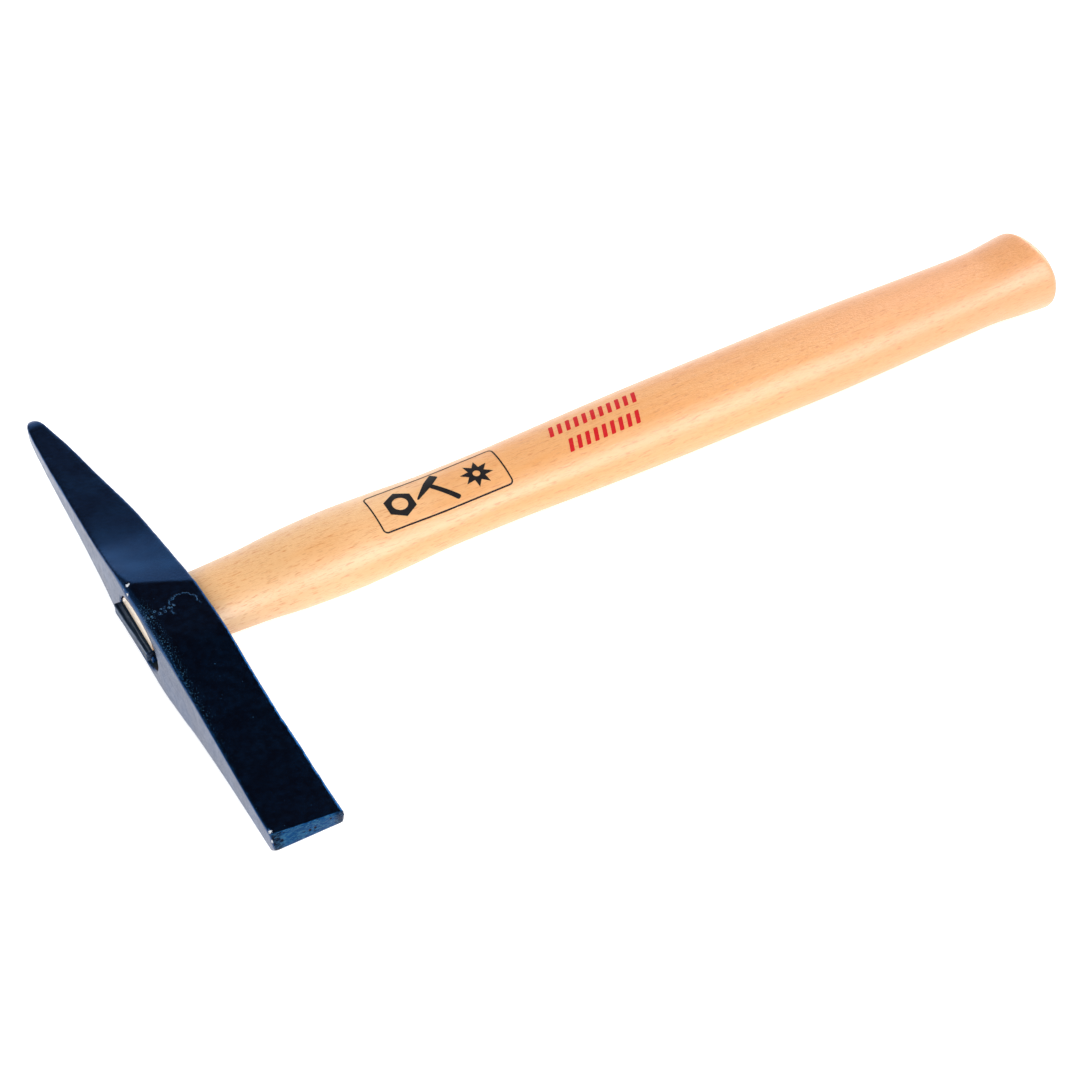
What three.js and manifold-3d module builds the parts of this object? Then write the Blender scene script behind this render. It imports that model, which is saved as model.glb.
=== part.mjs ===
// Chipping hammer lying on its side: a forged head with a pick and a chisel edge,
// an oval wooden handle whose tongue fills the eye, and a flat steel wedge in the tongue.
// Millimetres, +Z up. Drawn about the eye's centre: x runs from the outer face of the
// head towards the butt, y towards the pick, z is the normal of the cheeks.
import * as THREE from 'three';
import Module from 'manifold-3d';

// Clearance between neighbouring pieces
const GAP = 0.3;

// Head, along y
const PICK_TIP = 86.6;
const NOSE_LENGTH = 5.2;
const CHISEL_EDGE = -84;
const CHISEL_CORNER = 1.3;
const EDGE_LAND = 0.7;
const UPPER_BEVEL = 1.5;
const LOWER_BEVEL = 3.1;
const CHEEK_HALF = 11.6;
const CREASE = 4;
const FILLET_STEPS = 5;
const CHEEK_STEPS = 4;

// Tables of [position along y, value]; between rows the value runs smoothly
const OUTER_EDGE = [[-84, -8.8], [-55, -8.9], [-37, -9.05], [-24, -9.5], [-10, -10], [0, -10], [14, -9.8],
  [28, -9.45], [46, -8.95], [64, -8.55], [77, -8], [87, -7.15]];
const INNER_EDGE = [[-84, 11.4], [-69, 10.9], [-58, 10.5], [-47, 9.9], [-26, 9.3], [-3, 8.75], [17, 7.75],
  [33, 6.5], [57, 2.6], [72, 0], [81, -2.1], [87, -3.2]];
const BLOCK_HALF = [[-84, 4.1], [-78, 4.1], [-55, 5.8], [-33, 8.7], [-15, CHEEK_HALF], [CREASE, CHEEK_HALF]];
const PICK_HALF = [[CREASE, CHEEK_HALF], [10, 10.4], [16, 9.1], [28, 6.85], [46, 5], [64, 3.65], [81, 2.6],
  [87, 2.4]];
const OUTER_FILLET = [[-84, 1], [-70, 0.8], [-38, 1], [-28, 1.4], [-16, 2.4], [-4, 3.2], [4, 2.5], [9, 1.2],
  [18, 0.7], [87, 0.6]];
const INNER_FILLET = [[-84, 0.6], [-70, 0.6], [-20, 0.8], [20, 0.8], [87, 0.6]];
// How far a station leans, in y per millimetre of x
const LEAN = [[-28, 0], [CREASE, -0.47], [36, 0], [87, 0]];
/** Further lean of the upper side alone, which sets the chisel's bevel askew. */
const BEVEL_LEAN = [[-84, 0], [-82.5, -0.11], [-76, 0]];

// Eye through the head, along x: [x, half length, half width, middle in y]
const EYE = [[-14, 12.3, 8.4, -0.8], [-10, 12.15, 8.1, -0.7], [8.8, 11, 6.2, 0], [13, 10.8, 6, 0]];
const EYE_POWER = 2.4;

// Handle, along x: [x, half breadth along y, half thickness along z]
const SHOULDER = 9.15;
const SHOULDER_LEAN = -0.037;
const TONGUE_END = -9.6;
const BUTT_END = 286;
const BUTT_ROUND = 3.8;
const BUTT_INSET = 8;
const BUTT_LEAN = -0.17;
const BUTT_LEAN_START = 262;
const GRIP = [[8, 11.35, 7], [24, 11.85, 7.8], [38, 12.95, 8.85], [52, 13.3, 9.3], [66, 12.9, 9.05],
  [84, 12.1, 8.6], [99, 12.15, 8.7], [119, 12.6, 9.05], [138, 13.1, 9.55], [159, 13.35, 9.9], [184, 13.4, 10],
  [206, 13.5, 10.1], [222, 13.25, 10], [241, 12.65, 9.8], [256, 12.2, 9.75], [266, 11.95, 9.95], [276, 12.6, 10.9],
  [283, 13, CHEEK_HALF], [290, 13, CHEEK_HALF]];
const GRIP_POWER = 2.15;
const HANDLE_SIDES = 44;

// Wedge, driven into the tongue along the eye's long axis
const WEDGE_PROUD = 1.4;
const WEDGE_DEPTH = 15;
const WEDGE_THICK = 3.9;
const WEDGE_TIP = 1.6;
const WEDGE_PICK_END = 10.95;
const WEDGE_PICK_TAPER = 0.3;
const WEDGE_CHISEL_END = -9.3;
// The tongue stops short of the eye's chisel end and leaves a hollow there
const HOLLOW_START = -9.5;
const HOLLOW_DEPTH = 4.5;
// Below the wedge the tongue is cleared further towards the middle
const LOWER_START = -4;

const OUTER_FACE = -10;

/** Smooth value of a table at a position: Hermite pieces with limited slopes. */
function along(table, at, column = 1) {
  const last = table.length - 1;
  if (at <= table[0][0]) return table[0][column];
  if (at >= table[last][0]) return table[last][column];
  let i = 0;
  while (at > table[i + 1][0]) i += 1;
  const slope = (k) => (table[k + 1][column] - table[k][column]) / (table[k + 1][0] - table[k][0]);
  const tangent = (k) => {
    if (k === 0) return slope(0);
    if (k === last) return slope(last - 1);
    const before = slope(k - 1);
    const after = slope(k);
    return before * after <= 0 ? 0 : (2 * before * after) / (before + after);
  };
  const span = table[i + 1][0] - table[i][0];
  const t = (at - table[i][0]) / span;
  const rise = t * t * (3 - 2 * t);
  const bend = span * t * (1 - t) * ((1 - t) * tangent(i) - t * tangent(i + 1));
  return table[i][column] + rise * (table[i + 1][column] - table[i][column]) + bend;
}

/** Closed body from equal loops of [x, y, z] points, flat at both ends. */
function loft(loops) {
  const count = loops[0].length;
  const positions = loops.flat(2);
  const faces = [];
  for (let k = 0; k + 1 < loops.length; k += 1) {
    for (let i = 0; i < count; i += 1) {
      const j = (i + 1) % count;
      const a = k * count + i;
      const b = k * count + j;
      faces.push(a, b, b + count, a, b + count, a + count);
    }
  }
  for (const [k, flip] of [[0, true], [loops.length - 1, false]]) {
    const centre = positions.length / 3;
    const middle = [0, 1, 2].map((c) => loops[k].reduce((sum, p) => sum + p[c], 0) / count);
    positions.push(...middle);
    for (let i = 0; i < count; i += 1) {
      const a = k * count + i;
      const b = k * count + ((i + 1) % count);
      faces.push(...(flip ? [centre, b, a] : [centre, a, b]));
    }
  }
  return { positions: new Float32Array(positions), faces: new Uint32Array(faces) };
}

/** Positions from start to end in equal steps no longer than the given one. */
function steps(start, end, step) {
  const count = Math.ceil(Math.abs(end - start) / step);
  return Array.from({ length: count }, (_, i) => start + ((end - start) * i) / count);
}

/** Half thickness of the head on one side, with that side's bevel at the chisel end. */
function halfThickness(s, bevelDepth) {
  const body = along(s > CREASE ? PICK_HALF : BLOCK_HALF, s);
  const bevel = EDGE_LAND / 2 + ((s - CHISEL_EDGE) * (body - EDGE_LAND / 2)) / bevelDepth;
  return Math.min(body, bevel) * noseScale(s);
}

/** Edges of the head in plan, drawn in by the rounded nose and the chisel's corners. */
function planEdges(s) {
  let outer = along(OUTER_EDGE, s);
  let inner = along(INNER_EDGE, s);
  const corner = CHISEL_EDGE + CHISEL_CORNER - s;
  if (corner > 0) {
    const inset = CHISEL_CORNER - Math.sqrt(Math.max(0, CHISEL_CORNER ** 2 - corner ** 2));
    outer += inset * 0.8;
    inner -= inset * 0.8;
  }
  const shrink = noseScale(s);
  const middle = (outer + inner) / 2;
  return [middle + (outer - middle) * shrink, middle + (inner - middle) * shrink];
}

/** Scale of the section over the rounded nose of the pick. */
function noseScale(s) {
  const past = Math.max(0, s - (PICK_TIP - NOSE_LENGTH)) / NOSE_LENGTH;
  return Math.sqrt(Math.max(0.02, 1 - past * past));
}

/** One side of the head's section as [x, height]: fillet, flat cheek, fillet. */
function cheekProfile(s, half) {
  const [outer, inner] = planEdges(s);
  const limit = Math.min(half, (inner - outer) / 2) * 0.85;
  const big = Math.min(along(OUTER_FILLET, s), limit);
  const small = Math.min(along(INNER_FILLET, s), limit);
  const points = [];
  for (let i = 0; i <= FILLET_STEPS; i += 1) {
    const a = (i / FILLET_STEPS) * (Math.PI / 2);
    points.push([outer + big * (1 - Math.cos(a)), half - big * (1 - Math.sin(a))]);
  }
  for (let i = 1; i < CHEEK_STEPS; i += 1) {
    points.push([outer + big + ((inner - small - outer - big) * i) / CHEEK_STEPS, half]);
  }
  for (let i = FILLET_STEPS; i >= 0; i -= 1) {
    const a = (i / FILLET_STEPS) * (Math.PI / 2);
    points.push([inner - small * (1 - Math.cos(a)), half - small * (1 - Math.sin(a))]);
  }
  return points;
}

/** One loop around the head: the upper cheek, then the lower one. */
function headLoop(s) {
  const lean = along(LEAN, s);
  const slant = lean + along(BEVEL_LEAN, s);
  const upper = cheekProfile(s, halfThickness(s, UPPER_BEVEL)).map(([x, z]) => [x, s + slant * x, z]);
  const lower = cheekProfile(s, halfThickness(s, LOWER_BEVEL)).map(([x, z]) => [x, s + lean * x, -z]);
  return [...upper, ...lower.reverse()];
}

/** Head without its eye. */
function headBlank() {
  const upperStart = CHISEL_EDGE + UPPER_BEVEL;
  const lowerStart = CHISEL_EDGE + LOWER_BEVEL;
  const stations = [
    ...steps(CHISEL_EDGE, upperStart, 0.4),
    ...steps(upperStart, lowerStart, 0.5),
    ...steps(lowerStart, -34, 5),
    ...steps(-34, CREASE, 3),
    ...steps(CREASE, 26, 3),
    ...steps(26, PICK_TIP - NOSE_LENGTH, 5),
    ...steps(PICK_TIP - NOSE_LENGTH, PICK_TIP, 0.9),
    PICK_TIP,
  ];
  return loft(stations.map(headLoop));
}

/** Oval loop around the x axis; the power squares it up, the lean tilts it. */
function ovalLoop(x, halfY, halfZ, power, lean = 0, middle = 0) {
  const loop = [];
  for (let i = 0; i < HANDLE_SIDES; i += 1) {
    const a = (i / HANDLE_SIDES) * Math.PI * 2;
    const y = middle + halfY * Math.sign(Math.cos(a)) * Math.abs(Math.cos(a)) ** (2 / power);
    const z = halfZ * Math.sign(Math.sin(a)) * Math.abs(Math.sin(a)) ** (2 / power);
    loop.push([x + lean * y, y, z]);
  }
  return loop;
}

/** Eye opening, or the tongue that fills it when drawn in by an inset. */
function eyeLoop(x, inset, lean = 0) {
  const halfY = along(EYE, x, 1) - inset;
  const halfZ = along(EYE, x, 2) - inset;
  return ovalLoop(x, halfY, halfZ, EYE_POWER, lean, along(EYE, x, 3));
}

/** Lean of the grip's loops, which grows over the flare so the butt's end sits askew. */
function buttLean(x, flare) {
  const share = Math.max(0, x - BUTT_LEAN_START) / (flare - BUTT_LEAN_START);
  return BUTT_LEAN * share ** 2;
}

/** Handle with its tongue, before the kerf and the hollow are cut. */
function handleBlank() {
  const tongue = steps(TONGUE_END, SHOULDER, 4).map((x) => eyeLoop(x, GAP));
  tongue.push(eyeLoop(SHOULDER, GAP, SHOULDER_LEAN));
  const flare = BUTT_END - BUTT_ROUND;
  const grip = [SHOULDER, 11.5, ...steps(15, flare, 8.5), flare].map((x) => {
    const lean = x === SHOULDER ? SHOULDER_LEAN : buttLean(x, flare);
    return ovalLoop(x, along(GRIP, x, 1), along(GRIP, x, 2), GRIP_POWER, lean);
  });
  const dome = [];
  for (const turn of [0.25, 0.5, 0.7, 0.86, 0.96]) {
    const a = (turn * Math.PI) / 2;
    const x = flare + BUTT_ROUND * Math.sin(a);
    const inset = BUTT_INSET * (1 - Math.cos(a));
    dome.push(ovalLoop(x, along(GRIP, x, 1) - inset, along(GRIP, x, 2) - inset, GRIP_POWER, BUTT_LEAN));
  }
  return loft([...tongue, ...grip, ...dome]);
}

/** Wedge as a tapered plate; the kerf is the same plate grown by the gap. */
function wedgePlate(grow) {
  const top = OUTER_FACE - WEDGE_PROUD - grow;
  const tip = OUTER_FACE - WEDGE_PROUD + WEDGE_DEPTH + grow;
  const loop = (x, thick, taper) => {
    const high = thick / 2 + grow;
    const pickEnd = WEDGE_PICK_END - taper + grow;
    return [
      [x, WEDGE_CHISEL_END - grow, -high],
      [x, pickEnd, -high],
      [x, pickEnd, high],
      [x, WEDGE_CHISEL_END - grow, high],
    ];
  };
  return loft([loop(top, WEDGE_THICK, 0), loop(tip, WEDGE_TIP, WEDGE_PICK_TAPER)]);
}

/** Block that clears the tongue's chisel end up to a place along y, between two heights. */
function hollowBlock(near, bottom, top) {
  const far = HOLLOW_START - 6;
  const loop = (x) => [
    [x, far, bottom],
    [x, near, bottom],
    [x, near, top],
    [x, far, top],
  ];
  return loft([loop(TONGUE_END - 3), loop(TONGUE_END + HOLLOW_DEPTH)]);
}

/** Named mesh in its colour, moved so the hammer rests on z = 0 about the origin. */
function named(name, solid, colour, roughness, metalness) {
  const mesh = solid.getMesh();
  const geometry = new THREE.BufferGeometry();
  geometry.setAttribute('position', new THREE.BufferAttribute(Float32Array.from(mesh.vertProperties), 3));
  geometry.setIndex(new THREE.BufferAttribute(Uint32Array.from(mesh.triVerts), 1));
  const middleX = (OUTER_FACE - WEDGE_PROUD + BUTT_END) / 2;
  const middleY = (CHISEL_EDGE + PICK_TIP) / 2;
  geometry.translate(-middleX, -middleY, CHEEK_HALF);
  geometry.computeVertexNormals();
  const material = new THREE.MeshStandardMaterial({ color: colour, roughness, metalness });
  const out = new THREE.Mesh(geometry, material);
  out.name = name;
  return out;
}

const wasm = await Module();
wasm.setup();

/** Solid of a lofted body. */
function solidOf({ positions, faces }) {
  return new wasm.Manifold(new wasm.Mesh({ numProp: 3, vertProperties: positions, triVerts: faces }));
}

const eye = solidOf(loft(EYE.map(([x]) => eyeLoop(x, 0))));
const head = solidOf(headBlank()).subtract(eye);
const wedge = solidOf(wedgePlate(0));
const handle = solidOf(handleBlank())
  .subtract(solidOf(wedgePlate(GAP)))
  .subtract(solidOf(hollowBlock(HOLLOW_START, -8.3, 8.3)))
  .subtract(solidOf(hollowBlock(LOWER_START, -8.1, 1)));

const hammer = new THREE.Group();
hammer.name = 'chipping_hammer';
hammer.add(named('head', head, 0x16233a, 0.42, 0.2));
hammer.add(named('handle', handle, 0xd9a062, 0.5, 0));
hammer.add(named('wedge', wedge, 0x4a5258, 0.55, 0.8));

export default hammer;
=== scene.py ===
"""Chipping hammer lying on its side on a pale studio floor.

A forged head with a pick and a chisel edge is pushed over the tongue of an oval
beech handle, and a flat steel wedge spreads the tongue in the eye. Shapes are drawn
in millimetres about the middle of the eye: x runs from the outer face of the head
towards the butt, y towards the pick, z is the normal of the cheeks. Each piece is
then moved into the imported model's frame, in metres.
"""

import logging
import math
from dataclasses import dataclass
from enum import Enum
from typing import Any, Iterable, Sequence

import bpy
import numpy as np
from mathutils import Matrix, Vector, noise


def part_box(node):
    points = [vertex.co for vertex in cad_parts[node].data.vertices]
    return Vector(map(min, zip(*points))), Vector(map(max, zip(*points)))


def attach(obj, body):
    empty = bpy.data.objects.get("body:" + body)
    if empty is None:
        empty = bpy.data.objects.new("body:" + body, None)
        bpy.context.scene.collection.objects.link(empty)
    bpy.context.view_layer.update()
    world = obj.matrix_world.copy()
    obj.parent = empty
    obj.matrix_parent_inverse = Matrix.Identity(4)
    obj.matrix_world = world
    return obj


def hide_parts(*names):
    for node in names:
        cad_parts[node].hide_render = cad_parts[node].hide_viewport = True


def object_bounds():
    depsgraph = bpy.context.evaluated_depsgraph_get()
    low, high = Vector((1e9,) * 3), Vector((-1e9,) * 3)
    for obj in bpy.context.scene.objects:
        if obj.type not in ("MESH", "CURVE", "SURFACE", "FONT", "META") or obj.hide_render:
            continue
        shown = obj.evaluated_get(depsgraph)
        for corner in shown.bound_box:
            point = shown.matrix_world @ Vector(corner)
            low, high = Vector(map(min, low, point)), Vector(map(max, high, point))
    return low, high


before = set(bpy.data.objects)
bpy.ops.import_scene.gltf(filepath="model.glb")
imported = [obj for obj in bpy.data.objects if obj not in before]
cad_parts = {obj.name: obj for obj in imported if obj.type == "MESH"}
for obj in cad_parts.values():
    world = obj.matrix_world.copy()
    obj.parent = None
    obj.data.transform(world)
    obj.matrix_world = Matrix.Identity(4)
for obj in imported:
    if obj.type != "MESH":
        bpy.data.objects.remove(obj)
CAD_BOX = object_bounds()

MM = 0.001
BODY = "root"
CHEEK_HALF = 11.6
OUTER_FACE = -10.0
PICK_TIP = 86.6
GAP = 0.3
LOG = logging.getLogger("chipping_hammer")

Row = tuple[float, ...]
Points = np.ndarray
Shape = tuple[Points, list]


class Slot(Enum):
    """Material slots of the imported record."""

    PAINT = "head_paint"
    WOOD = "handle_wood"
    STEEL = "wedge_steel"


class Sum(Enum):
    """Arithmetic that the finishes use."""

    PLUS = "ADD"
    LESS = "SUBTRACT"
    TIMES = "MULTIPLY"
    MOST = "MAXIMUM"
    AMOUNT = "ABSOLUTE"


# ---------------------------------------------------------------- shape helpers


@dataclass(frozen=True)
class Curve:
    """Smooth curve through rows of [position, value, ...], flat beyond its ends."""

    rows: tuple[Row, ...]

    def at(self, where: Points | float, column: int = 1) -> Points:
        """Value of one column at each position.

        Args:
            where: Positions along the curve.
            column: Which value of the rows to follow.

        Returns:
            One value for each position.
        """
        table = np.array([[row[0], row[column]] for row in self.rows])
        knots, values = table[:, 0], table[:, 1]
        slopes = np.diff(values) / np.diff(knots)
        tangents = np.empty(len(knots))
        tangents[0], tangents[-1] = slopes[0], slopes[-1]
        before, after = slopes[:-1], slopes[1:]
        product = before * after
        total = np.where(product > 0, before + after, 1.0)
        tangents[1:-1] = np.where(product > 0, 2 * product / total, 0.0)
        place = np.clip(np.asarray(where, float), knots[0], knots[-1])
        i = np.clip(np.searchsorted(knots, place, side="left") - 1, 0, len(knots) - 2)
        span = knots[i + 1] - knots[i]
        t = (place - knots[i]) / span
        rise = t * t * (3 - 2 * t)
        bend = span * t * (1 - t) * ((1 - t) * tangents[i] - t * tangents[i + 1])
        return values[i] + rise * (values[i + 1] - values[i]) + bend


def eye_middle() -> Points:
    """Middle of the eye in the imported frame.

    Returns:
        Its x, y, z in metres.
    """
    low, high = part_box("head")
    return np.array([
        low.x - OUTER_FACE * MM, high.y - PICK_TIP * MM, high.z - CHEEK_HALF * MM])


def to_frame(points: Points) -> Points:
    """Move points from the eye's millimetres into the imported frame.

    Args:
        points: Points in millimetres about the middle of the eye.

    Returns:
        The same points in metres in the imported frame.
    """
    return np.asarray(points, float) * MM + eye_middle()


def new_object(name: str, points: Points, faces: Iterable[Sequence[int]]) -> bpy.types.Object:
    """Object from points in millimetres and faces.

    Args:
        name: Name of the object and of its mesh.
        points: One row of x, y, z for each vertex.
        faces: Vertex numbers of each face.

    Returns:
        The new object, linked to the scene.
    """
    mesh = bpy.data.meshes.new(name)
    mesh.from_pydata([tuple(p) for p in points], [], [tuple(f) for f in faces])
    mesh.validate()
    mesh.update()
    made = bpy.data.objects.new(name, mesh)
    bpy.context.scene.collection.objects.link(made)
    return made


def loft(name: str, loops: Points) -> bpy.types.Object:
    """Closed body through equal loops, with a fan at both ends.

    Args:
        name: Name of the new object.
        loops: Array of loops by points by x, y, z.

    Returns:
        The new object, in millimetres.
    """
    rings, sides = loops.shape[:2]
    faces: list[tuple[int, ...]] = []
    for k in range(rings - 1):
        for i in range(sides):
            a, b = k * sides + i, k * sides + (i + 1) % sides
            faces.append((a, b, b + sides, a + sides))
    first, last = rings * sides, rings * sides + 1
    for i in range(sides):
        j = (i + 1) % sides
        faces.append((first, j, i))
        faces.append((last, (rings - 1) * sides + i, (rings - 1) * sides + j))
    ends = np.array([loops[0].mean(axis=0), loops[-1].mean(axis=0)])
    return new_object(name, np.vstack([loops.reshape(-1, 3), ends]), faces)


def settle(made: bpy.types.Object) -> None:
    """Replace an object's mesh by what its modifiers make of it.

    Args:
        made: Object with modifiers.
    """
    graph = bpy.context.evaluated_depsgraph_get()
    final = bpy.data.meshes.new_from_object(made.evaluated_get(graph))
    made.modifiers.clear()
    made.data = final


def cut(body: bpy.types.Object, tool: bpy.types.Object) -> None:
    """Take a tool's shape out of a body and discard the tool.

    Args:
        body: Closed object to cut.
        tool: Closed object that is taken away.
    """
    step = body.modifiers.new("cut", "BOOLEAN")
    step.operation = "DIFFERENCE"
    step.solver = "EXACT"
    step.object = tool
    bpy.context.view_layer.update()
    settle(body)
    bpy.data.objects.remove(tool)


def soften(body: bpy.types.Object, grain: float, passes: int) -> None:
    """Give a body an even, fine skin with softly rounded edges.

    Args:
        body: Closed object, in millimetres.
        grain: Size of the new faces in millimetres.
        passes: How often the skin is relaxed.
    """
    skin = body.modifiers.new("skin", "REMESH")
    skin.mode = "VOXEL"
    skin.voxel_size = grain
    relax = body.modifiers.new("relax", "SMOOTH")
    relax.factor = 0.5
    relax.iterations = passes
    settle(body)


def vertex_rows(made: bpy.types.Object, what: str) -> Points:
    """One vector of every vertex of an object.

    Args:
        made: Object to read.
        what: Name of the vector.

    Returns:
        Rows of x, y, z.
    """
    flat = np.empty(len(made.data.vertices) * 3, np.float64)
    made.data.vertices.foreach_get(what, flat)
    return flat.reshape(-1, 3)


def points_of(made: bpy.types.Object) -> Points:
    """Vertices of an object as rows of x, y, z."""
    return vertex_rows(made, "co")


def normals_of(made: bpy.types.Object) -> Points:
    """Vertex normals of an object as rows of x, y, z."""
    return vertex_rows(made, "normal")


def set_points(made: bpy.types.Object, points: Points) -> None:
    """Put an object's vertices at new places."""
    made.data.vertices.foreach_set("co", np.asarray(points, np.float32).ravel())
    made.data.update()


def ripple(points: Points, size: float, seed: float) -> Points:
    """Smooth random height between about -1 and 1 at each point.

    Args:
        points: Places in millimetres.
        size: Distance between neighbouring bumps in millimetres.
        seed: Shift that picks another pattern.

    Returns:
        One height for each point.
    """
    scaled = points / size + seed
    return np.array([noise.noise(Vector(p)) for p in scaled])


def shade(made: bpy.types.Object, sharp_degrees: float = 180.0) -> None:
    """Smooth shading with edges kept sharp above an angle.

    Args:
        made: Object to shade.
        sharp_degrees: Angle above which an edge stays sharp.
    """
    made.data.shade_smooth()
    if sharp_degrees < 180.0:
        made.data.set_sharp_from_angle(angle=math.radians(sharp_degrees))


def install(made: bpy.types.Object, look: bpy.types.Material) -> None:
    """Move a finished piece into the frame, dress it and let it ride.

    Args:
        made: Piece in millimetres about the eye.
        look: Material of the whole piece.
    """
    set_points(made, to_frame(points_of(made)))
    made.data.materials.clear()
    made.data.materials.append(look)
    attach(made, BODY)


# ------------------------------------------------------------- material helpers


class Weave:
    """Node tree of one material, with short calls for the nodes used here."""

    def __init__(self, name: str) -> None:
        """Start an empty material with one surface shader.

        Args:
            name: Name of the material.
        """
        self.material = bpy.data.materials.new(name)
        self.material.use_nodes = True
        self.tree = self.material.node_tree
        self.tree.nodes.clear()
        self.output = self.tree.nodes.new("ShaderNodeOutputMaterial")
        self.surface = self.tree.nodes.new("ShaderNodeBsdfPrincipled")
        self.tree.links.new(self.surface.outputs[0], self.output.inputs[0])

    def feed(self, socket: Any, value: Any) -> None:
        """Link a socket to another, or set it to a plain value.

        Args:
            socket: Input to feed.
            value: Another socket, a number or a colour.
        """
        if isinstance(value, bpy.types.NodeSocket):
            self.tree.links.new(value, socket)
        else:
            socket.default_value = value

    def set(self, **values: Any) -> None:
        """Feed the surface shader's sockets.

        Args:
            values: Value of each socket; underscores in its name stand for spaces.
        """
        for name, value in values.items():
            self.feed(self.surface.inputs[name.replace("_", " ")], value)

    def place(self, stretch: Row = (1.0, 1.0, 1.0)) -> Any:
        """Position about the eye in millimetres, squeezed along each axis.

        Args:
            stretch: How many pattern units one millimetre is along x, y and z.

        Returns:
            Vector socket.
        """
        where = self.tree.nodes.new("ShaderNodeTexCoord")
        scaled = self.tree.nodes.new("ShaderNodeVectorMath")
        scaled.operation = "MULTIPLY_ADD"
        scaled.inputs[1].default_value = tuple(s / MM for s in stretch)
        shift = tuple(-s * m / MM for s, m in zip(stretch, eye_middle()))
        scaled.inputs[2].default_value = shift
        self.tree.links.new(where.outputs["Object"], scaled.inputs[0])
        return scaled.outputs[0]

    def even(self, scale: float) -> Any:
        """Position about the eye, squeezed alike along all axes."""
        return self.place((scale, scale, scale))

    def away(self, spot: Row) -> Any:
        """Distance in millimetres from a spot on the piece.

        Args:
            spot: Its x, y and z about the middle of the eye.

        Returns:
            Value socket.
        """
        gap = self.tree.nodes.new("ShaderNodeVectorMath")
        gap.operation = "DISTANCE"
        gap.inputs[1].default_value = spot
        self.tree.links.new(self.place(), gap.inputs[0])
        return gap.outputs["Value"]

    def axis(self, vector: Any, name: str) -> Any:
        """One coordinate of a vector socket.

        Args:
            vector: Vector socket.
            name: X, Y or Z.

        Returns:
            Value socket.
        """
        split = self.tree.nodes.new("ShaderNodeSeparateXYZ")
        self.tree.links.new(vector, split.inputs[0])
        return split.outputs[name]

    def normal(self) -> Any:
        """Direction the surface faces."""
        return self.tree.nodes.new("ShaderNodeNewGeometry").outputs["Normal"]

    def cloud(self, where: Any, detail: float = 3.0, rough: float = 0.5,
              twist: float = 0.0) -> Any:
        """Noise between 0 and 1.

        Args:
            where: Vector socket that gives the place.
            detail: How many finer layers are added.
            rough: How strong the finer layers are.
            twist: How much the pattern is bent by itself.

        Returns:
            Value socket.
        """
        made = self.tree.nodes.new("ShaderNodeTexNoise")
        made.inputs["Scale"].default_value = 1.0
        made.inputs["Detail"].default_value = detail
        made.inputs["Roughness"].default_value = rough
        made.inputs["Distortion"].default_value = twist
        self.tree.links.new(where, made.inputs["Vector"])
        return made.outputs[0]

    def cells(self, where: Any, loose: float = 1.0) -> Any:
        """Distance to the nearest of scattered points.

        Args:
            where: Vector socket that gives the place.
            loose: How irregularly the points are scattered.

        Returns:
            Value socket.
        """
        made = self.tree.nodes.new("ShaderNodeTexVoronoi")
        made.inputs["Scale"].default_value = 1.0
        made.inputs["Randomness"].default_value = loose
        self.tree.links.new(where, made.inputs["Vector"])
        return made.outputs["Distance"]

    def span(self, value: Any, low: float, high: float, to_low: float = 0.0,
             to_high: float = 1.0) -> Any:
        """Stretch a value from one range to another, with soft ends.

        Args:
            value: Value socket.
            low: Value that becomes to_low.
            high: Value that becomes to_high.
            to_low: Result at and beyond low.
            to_high: Result at and beyond high.

        Returns:
            Value socket.
        """
        made = self.tree.nodes.new("ShaderNodeMapRange")
        made.interpolation_type = "SMOOTHSTEP"
        for socket, number in zip(list(made.inputs)[1:5], (low, high, to_low, to_high)):
            socket.default_value = number
        self.tree.links.new(value, made.inputs[0])
        return made.outputs[0]

    def sum(self, kind: Sum, first: Any, second: Any = 0.0) -> Any:
        """Arithmetic on one or two values.

        Args:
            kind: What is done with them.
            first: Number or value socket.
            second: Number or value socket.

        Returns:
            Value socket.
        """
        made = self.tree.nodes.new("ShaderNodeMath")
        made.operation = kind.value
        self.feed(made.inputs[0], first)
        self.feed(made.inputs[1], second)
        return made.outputs[0]

    def plus(self, first: Any, second: Any) -> Any:
        """Sum of two values."""
        return self.sum(Sum.PLUS, first, second)

    def less(self, first: Any, second: Any) -> Any:
        """First value less the second."""
        return self.sum(Sum.LESS, first, second)

    def times(self, first: Any, second: Any) -> Any:
        """Product of two values."""
        return self.sum(Sum.TIMES, first, second)

    def most(self, first: Any, second: Any) -> Any:
        """Larger of two values."""
        return self.sum(Sum.MOST, first, second)

    def amount(self, value: Any) -> Any:
        """Value without its sign."""
        return self.sum(Sum.AMOUNT, value)

    def blend(self, share: Any, first: Any, second: Any) -> Any:
        """Colour that goes from the first to the second with the share.

        Args:
            share: Number or value socket, from 0 to 1.
            first: Colour or colour socket at 0.
            second: Colour or colour socket at 1.

        Returns:
            Colour socket.
        """
        made = self.tree.nodes.new("ShaderNodeMix")
        made.data_type = "RGBA"
        self.feed(made.inputs[0], share)
        self.feed(made.inputs[6], first)
        self.feed(made.inputs[7], second)
        return made.outputs[2]

    def emboss(self, height: Any, depth_mm: float, under: Any = None) -> Any:
        """Bumped normal from a height between 0 and 1.

        Args:
            height: Value socket.
            depth_mm: How far 1 stands above 0, in millimetres.
            under: Normal that the bump is laid on.

        Returns:
            Normal socket.
        """
        made = self.tree.nodes.new("ShaderNodeBump")
        made.inputs["Distance"].default_value = depth_mm * MM
        self.tree.links.new(height, made.inputs["Height"])
        if under is not None:
            self.tree.links.new(under, made.inputs["Normal"])
        return made.outputs[0]


def tone(red: float, green: float, blue: float) -> tuple[float, float, float, float]:
    """Opaque linear colour."""
    return (red, green, blue, 1.0)


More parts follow.
